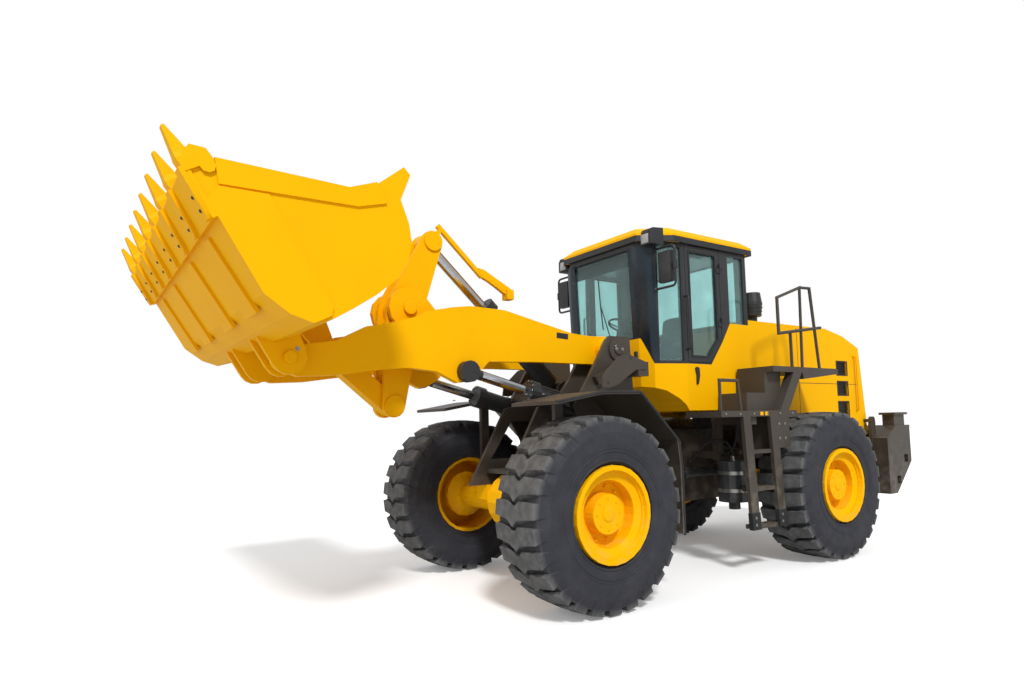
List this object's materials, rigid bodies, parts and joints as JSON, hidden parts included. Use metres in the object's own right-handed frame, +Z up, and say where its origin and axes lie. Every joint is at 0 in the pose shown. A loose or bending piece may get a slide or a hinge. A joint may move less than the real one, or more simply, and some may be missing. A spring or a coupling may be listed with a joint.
{
  "type": "wheel loader",
  "caption": "Articulated wheel loader with a raised, curled toothed bucket on a Z-bar arm, a glazed cab with side ladders and a tilting hood.",
  "frame": {"origin": "on the floor under the middle of the machine's box", "axes": "+X forward, +Y left, +Z up"},
  "size_m": [9.0088, 3.04, 3.59],
  "materials": {
    "yellow_paint": "gloss",
    "grey_paint": "satin",
    "dark_paint": "satin",
    "chrome": "polished",
    "tyre": "matt",
    "glass": "tinted"
  },
  "bodies": {
    "rear_frame": {"rear_frame": "grey_paint", "rear_axle": "yellow_paint", "engine": "dark_paint", "radiator": "dark_paint", "driveline": "dark_paint", "counterweight": "grey_paint", "cab_body": "yellow_paint", "cab_frame": "dark_paint", "cab_roof": "yellow_paint", "windshield": "glass", "seat": "dark_paint", "steering_console": "dark_paint", "mirror_left": "dark_paint", "mirror_right": "dark_paint", "deck_left": "grey_paint", "deck_right": "grey_paint", "tank_left": "dark_paint", "tank_right": "dark_paint"},
    "front_frame": {"front_frame": "grey_paint", "front_axle": "yellow_paint", "fender_left": "grey_paint", "fender_right": "grey_paint", "headlamp_left": "dark_paint", "headlamp_right": "dark_paint"},
    "boom": {"boom": "yellow_paint"},
    "bucket": {"bucket": "yellow_paint", "bucket_teeth": "yellow_paint"},
    "rocker": {"rocker": "yellow_paint"},
    "link": {"link": "yellow_paint"},
    "tilt_barrel": {"tilt_barrel": "dark_paint"},
    "tilt_rod": {"tilt_rod": "chrome", "position_bar": "yellow_paint"},
    "door": {"cab_door": "dark_paint"},
    "hood": {"hood": "yellow_paint", "grille": "dark_paint", "precleaner": "dark_paint"},
    "lift_left_barrel": {"lift_left_barrel": "dark_paint"},
    "lift_left_rod": {"lift_left_rod": "chrome"},
    "steer_left_barrel": {"steer_left_barrel": "dark_paint"},
    "steer_left_rod": {"steer_left_rod": "chrome"},
    "wheel_front_left": {"tyre_front_left": "tyre", "rim_front_left": "yellow_paint"},
    "wheel_rear_left": {"tyre_rear_left": "tyre", "rim_rear_left": "yellow_paint"},
    "lift_right_barrel": {"lift_right_barrel": "dark_paint"},
    "lift_right_rod": {"lift_right_rod": "chrome"},
    "steer_right_barrel": {"steer_right_barrel": "dark_paint"},
    "steer_right_rod": {"steer_right_rod": "chrome"},
    "wheel_front_right": {"tyre_front_right": "tyre", "rim_front_right": "yellow_paint"},
    "wheel_rear_right": {"tyre_rear_right": "tyre", "rim_rear_right": "yellow_paint"}
  },
  "joints": [
    {"name": "steer", "type": "hinge", "parent": "rear_frame", "child": "front_frame", "pos_m": [-0.48436, 0, 1], "axis": [0, 0, 1], "range_deg": [-35, 35]},
    {"name": "boom_lift", "type": "hinge", "parent": "front_frame", "child": "boom", "pos_m": [0.36564, 0, 2.28], "axis": [0, -1, 0], "range_deg": [-35, 40]},
    {"name": "bucket_tilt", "type": "hinge", "parent": "boom", "child": "bucket", "pos_m": [3.55064, 0, 2.087], "axis": [0, 1, 0], "range_deg": [0, 144]},
    {"name": "rocker_swing", "type": "hinge", "parent": "boom", "child": "rocker", "pos_m": [2.43664, 0, 2.591], "axis": [0, -1, 0], "range_deg": [0, 50.46]},
    {"name": "link_swing", "type": "hinge", "parent": "bucket", "child": "link", "pos_m": [3.16488, 0, 2.26046], "axis": [0, -1, 0], "range_deg": [0, 107.94]},
    {"name": "tilt_barrel_swing", "type": "hinge", "parent": "front_frame", "child": "tilt_barrel", "pos_m": [0.66564, 0, 1.88], "axis": [0, -1, 0], "range_deg": [-34.75, 39.64]},
    {"name": "tilt_rod_slide", "type": "slide", "parent": "tilt_barrel", "child": "tilt_rod", "axis": [0.7364, 0, 0.6765], "range_m": [-0.60415, 0.005]},
    {"name": "lift_left_barrel_swing", "type": "hinge", "parent": "front_frame", "child": "lift_left_barrel", "pos_m": [0.27564, 0.4725, 1.56], "axis": [0, -1, 0], "range_deg": [-30.68, 34.99]},
    {"name": "lift_left_rod_slide", "type": "slide", "parent": "lift_left_barrel", "child": "lift_left_rod", "axis": [0.9654, 0, 0.2608], "range_m": [-0.39119, 0.44636]},
    {"name": "lift_right_barrel_swing", "type": "hinge", "parent": "front_frame", "child": "lift_right_barrel", "pos_m": [0.27564, -0.4725, 1.56], "axis": [0, -1, 0], "range_deg": [-30.68, 34.99]},
    {"name": "lift_right_rod_slide", "type": "slide", "parent": "lift_right_barrel", "child": "lift_right_rod", "axis": [0.9654, 0, 0.2608], "range_m": [-0.39119, 0.44636]},
    {"name": "steer_left_barrel_swing", "type": "hinge", "parent": "rear_frame", "child": "steer_left_barrel", "pos_m": [-1.23436, 0.62, 1], "axis": [0, 0, 1], "range_deg": [-10.12, 10.12]},
    {"name": "steer_left_rod_slide", "type": "slide", "parent": "steer_left_barrel", "child": "steer_left_rod", "axis": [0.9946, -0.1038, 0], "range_m": [-0.32625, 0.32625]},
    {"name": "steer_right_barrel_swing", "type": "hinge", "parent": "rear_frame", "child": "steer_right_barrel", "pos_m": [-1.23436, -0.62, 1], "axis": [0, 0, 1], "range_deg": [-10.12, 10.12]},
    {"name": "steer_right_rod_slide", "type": "slide", "parent": "steer_right_barrel", "child": "steer_right_rod", "axis": [0.9946, 0.1038, 0], "range_m": [-0.32625, 0.32625]},
    {"name": "door_swing", "type": "hinge", "parent": "rear_frame", "child": "door", "pos_m": [-1.03736, 0.7923, 0], "axis": [0, 0, 1], "range_deg": [0, 80]},
    {"name": "hood_tilt", "type": "hinge", "parent": "rear_frame", "child": "hood", "pos_m": [-3.94436, 0, 1.5], "axis": [0, -1, 0], "range_deg": [0, 50]},
    {"name": "wheel_front_left_roll", "type": "hinge", "parent": "front_frame", "child": "wheel_front_left", "pos_m": [1.21564, 1.135, 0.81], "axis": [0, 1, 0], "continuous": true},
    {"name": "wheel_front_right_roll", "type": "hinge", "parent": "front_frame", "child": "wheel_front_right", "pos_m": [1.21564, -1.135, 0.81], "axis": [0, 1, 0], "continuous": true},
    {"name": "wheel_rear_left_roll", "type": "hinge", "parent": "rear_frame", "child": "wheel_rear_left", "pos_m": [-2.18436, 1.135, 0.81], "axis": [0, 1, 0], "continuous": true},
    {"name": "wheel_rear_right_roll", "type": "hinge", "parent": "rear_frame", "child": "wheel_rear_right", "pos_m": [-2.18436, -1.135, 0.81], "axis": [0, 1, 0], "continuous": true}
  ],
  "couplings": [
    {"joint": "rocker_swing", "follows": "bucket_tilt", "ratio": 0.34697},
    {"joint": "link_swing", "follows": "bucket_tilt", "ratio": 0.74614},
    {"joint": "tilt_barrel_swing", "follows": "boom_lift", "ratio": 0.9786},
    {"joint": "tilt_rod_slide", "follows": "bucket_tilt", "m_per_rad": -0.2384},
    {"joint": "lift_left_barrel_swing", "follows": "boom_lift", "ratio": 0.86222},
    {"joint": "lift_left_rod_slide", "follows": "boom_lift", "m_per_rad": 0.6322},
    {"joint": "lift_right_barrel_swing", "follows": "boom_lift", "ratio": 0.86222},
    {"joint": "lift_right_rod_slide", "follows": "boom_lift", "m_per_rad": 0.6322},
    {"joint": "steer_left_barrel_swing", "follows": "steer", "ratio": 0.27492},
    {"joint": "steer_left_rod_slide", "follows": "steer", "m_per_rad": -0.52589},
    {"joint": "steer_right_barrel_swing", "follows": "steer", "ratio": 0.27492},
    {"joint": "steer_right_rod_slide", "follows": "steer", "m_per_rad": 0.52589}
  ]
}
